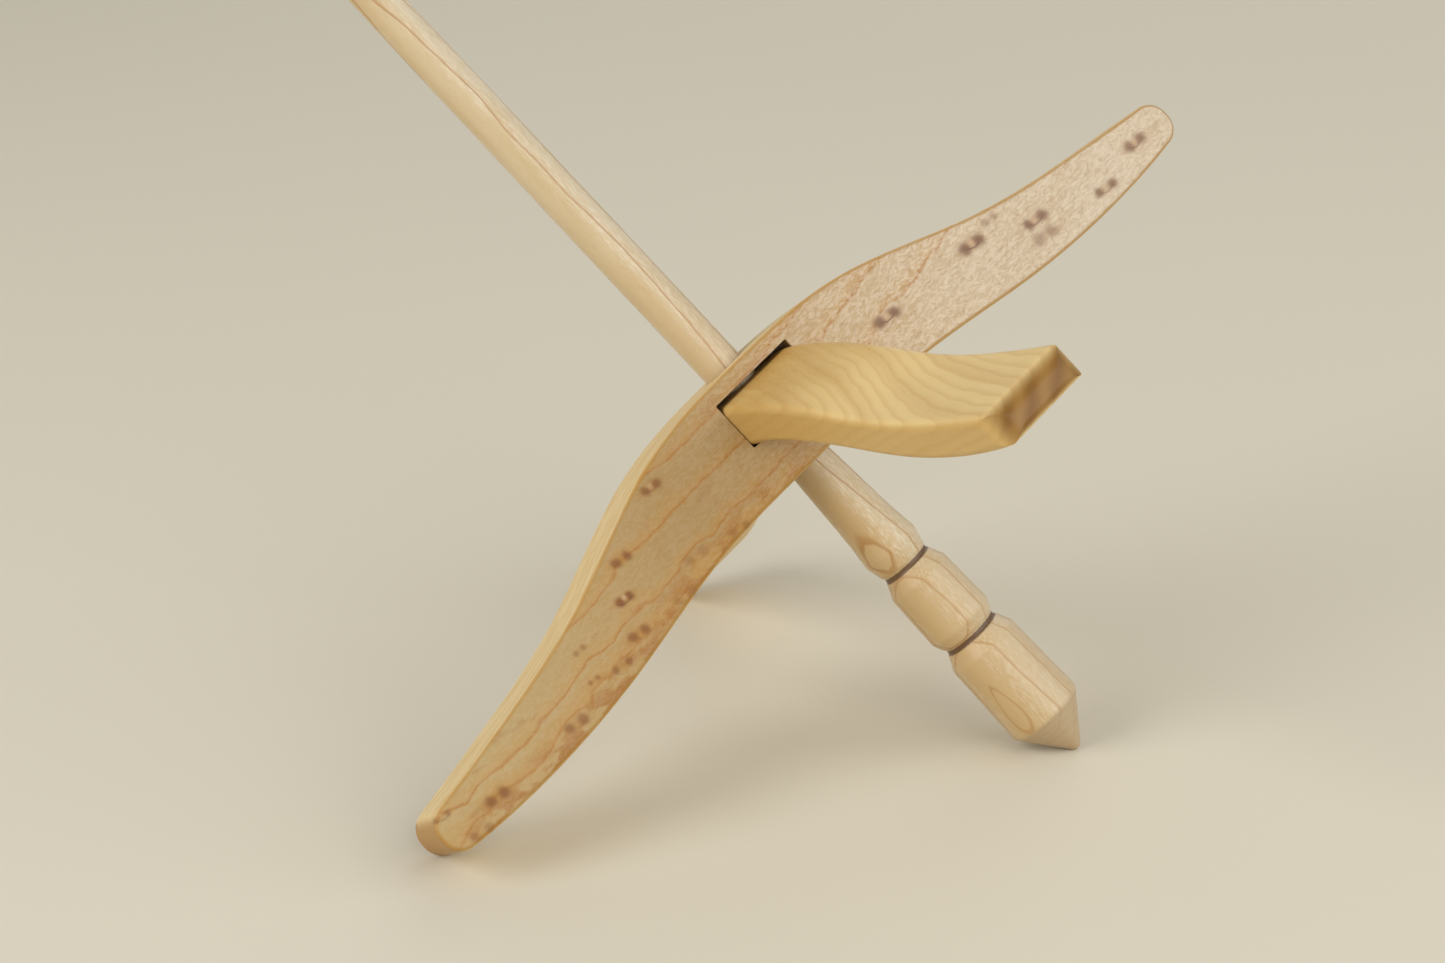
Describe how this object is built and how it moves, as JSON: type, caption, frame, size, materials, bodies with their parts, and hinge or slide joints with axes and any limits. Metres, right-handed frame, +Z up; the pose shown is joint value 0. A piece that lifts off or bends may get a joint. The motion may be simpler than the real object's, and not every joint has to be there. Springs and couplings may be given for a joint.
{
  "type": "take-apart drop spindle",
  "caption": "Wooden hand spindle: a turned shaft pins two crossing, drooping wings together, twists and stores yarn, and comes apart to free the wound ball.",
  "frame": {"origin": "on the surface the spindle lies on, below the middle of its bounding box", "axes": "+Z up; +X the way the shaft leans, with its pointed foot at -X; +Y completes the frame"},
  "size_m": [0.1542, 0.106, 0.1618],
  "materials": {
    "shaft_maple": "oiled and buffed to a satin sheen, with two burnt rings",
    "large_wing_maple": "oiled bird's-eye figure, satin",
    "small_wing_maple": "oiled bird's-eye figure, satin"
  },
  "bodies": {
    "shaft": {"shaft": "shaft_maple"},
    "wings": {"large_wing": "large_wing_maple", "small_wing": "small_wing_maple"}
  },
  "joints": [
    {"name": "wings_slide", "type": "slide", "parent": "shaft", "child": "wings", "axis": [0.6723, 0, 0.7403], "range_m": [0, 0.166]}
  ]
}
